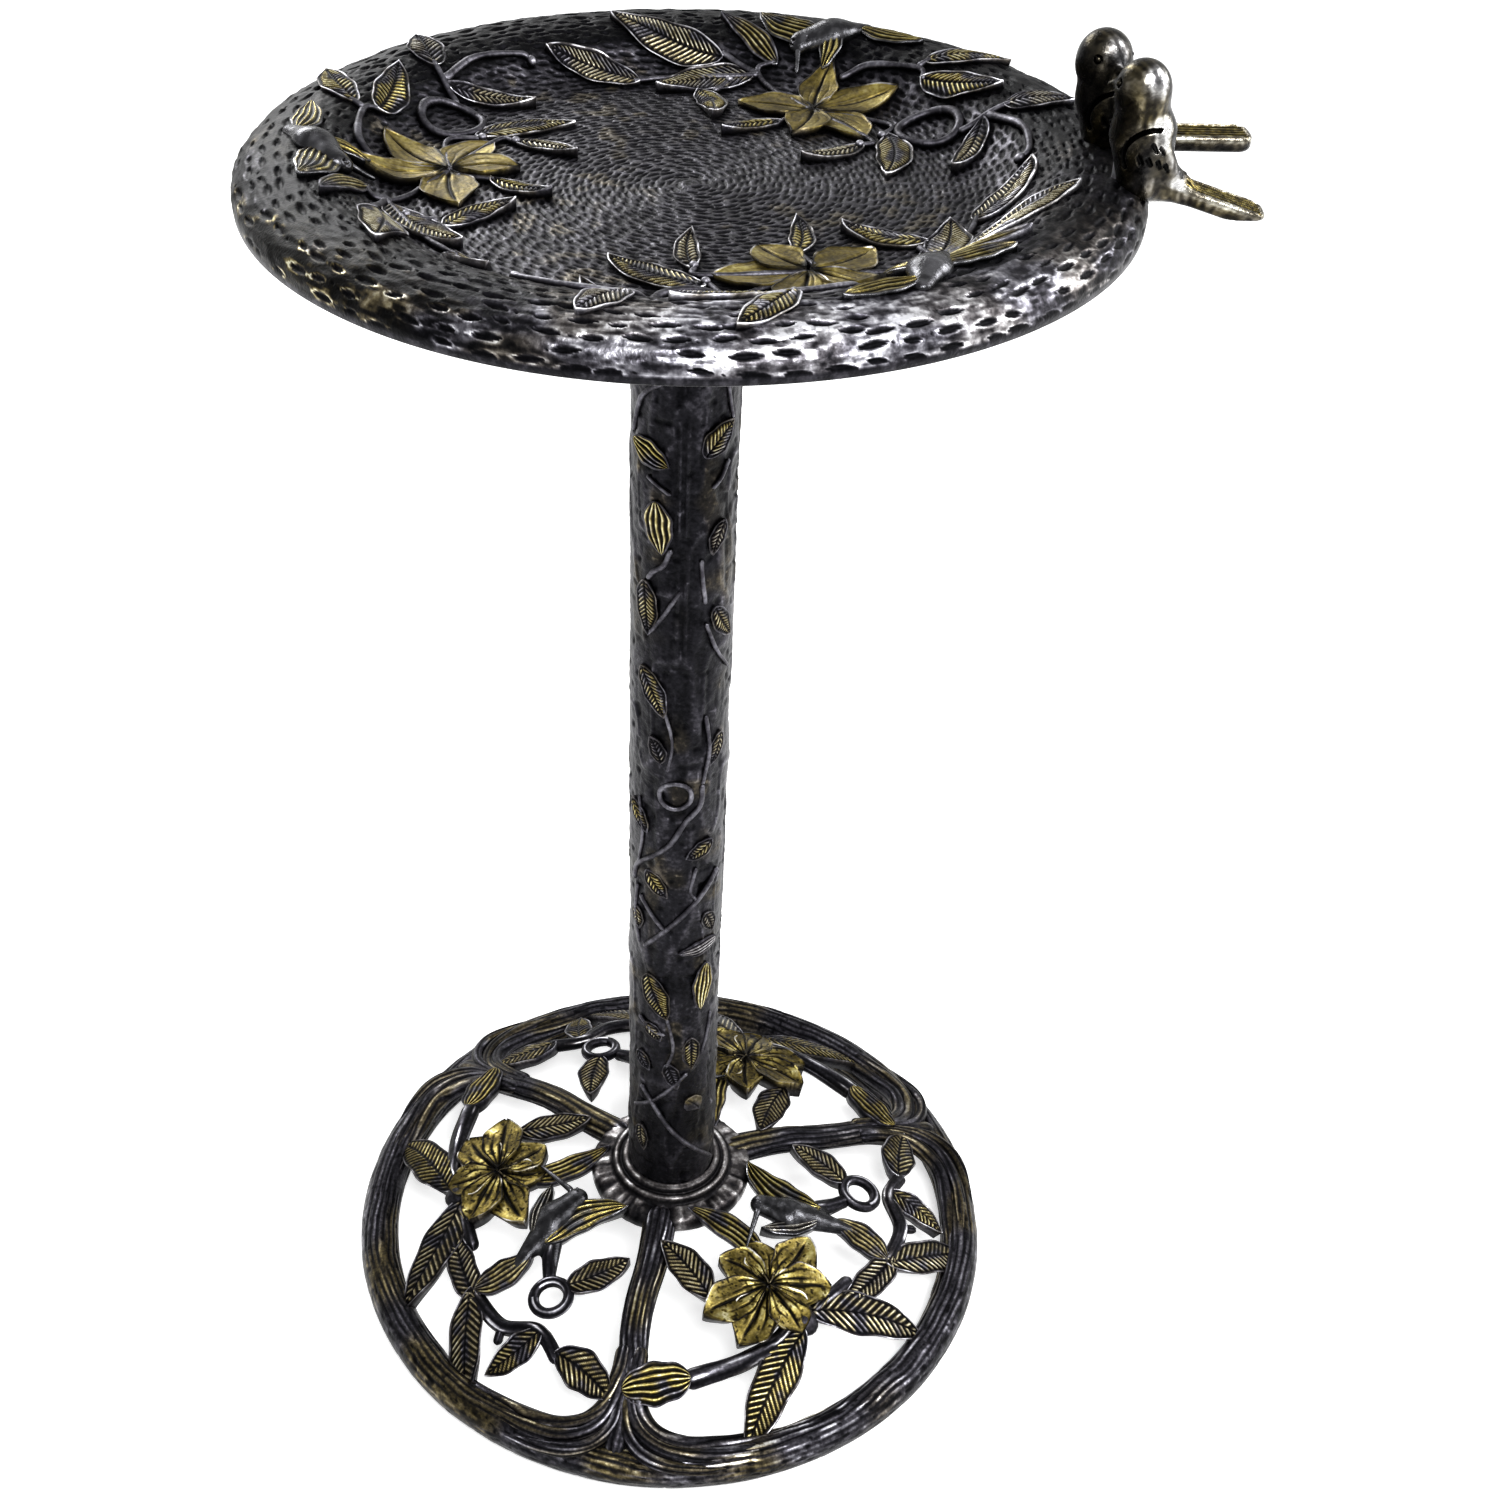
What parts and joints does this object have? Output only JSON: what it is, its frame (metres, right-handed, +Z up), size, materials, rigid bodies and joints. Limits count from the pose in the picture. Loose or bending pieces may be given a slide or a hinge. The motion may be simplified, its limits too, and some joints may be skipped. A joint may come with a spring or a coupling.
{
  "type": "bird bath",
  "caption": "Pedestal bird bath: shallow relief bowl with two songbirds on its rim, on a slim column and an openwork domed base of boughs, leaves and flowers.",
  "frame": {"origin": "on the column axis, on the ground plane that the base ring stands on", "axes": "+Z up along the column; +X outward through the pair of songbirds on the rim"},
  "size_m": [0.5108, 0.454, 0.882],
  "materials": {
    "pewter": "antique pewter patina, silver on the ridges",
    "gilt": "brass rubbed over dark patina",
    "bronze": "dark burnished bronze",
    "brass": "plain turned brass",
    "zinc_steel": "zinc plated",
    "rubber": "matt black"
  },
  "bodies": {
    "stand": {"base_ring": "pewter", "base_hub": "pewter", "base_spoke_1": "pewter", "base_spoke_2": "pewter", "base_spoke_3": "pewter", "base_blossom_1": "gilt", "base_blossom_2": "gilt", "base_blossom_3": "gilt", "base_tendril_1": "gilt", "base_tendril_2": "gilt", "base_tendril_3": "gilt", "base_hummingbird_1": "bronze", "base_hummingbird_2": "bronze", "base_hummingbird_3": "bronze", "column": "pewter", "tie_rod": "zinc_steel", "base_washer": "zinc_steel", "base_nut": "zinc_steel", "top_plate": "zinc_steel", "top_nut": "zinc_steel"},
    "gasket_ring": {"gasket": "rubber"},
    "bowl": {"dish": "pewter", "threaded_insert": "brass", "dish_blossom_1": "gilt", "dish_blossom_2": "gilt", "dish_blossom_3": "gilt", "dish_spray_1": "gilt", "dish_spray_2": "gilt", "dish_spray_3": "gilt", "dish_hummingbird_1": "bronze", "dish_hummingbird_2": "bronze", "dish_hummingbird_3": "bronze", "songbird_rear": "bronze", "songbird_front": "bronze", "bird_screws": "zinc_steel"}
  },
  "joints": [
    {"name": "bowl_turn", "type": "hinge", "parent": "stand", "child": "gasket_ring", "pos_m": [0, 0, 0.79], "axis": [0, 0, 1], "range_deg": [0, 2880]},
    {"name": "bowl_rise", "type": "slide", "parent": "gasket_ring", "child": "bowl", "axis": [0, 0, 1], "range_m": [0, 0.012]}
  ],
  "couplings": [
    {"joint": "bowl_rise", "follows": "bowl_turn", "m_per_rad": 0.00023873}
  ]
}
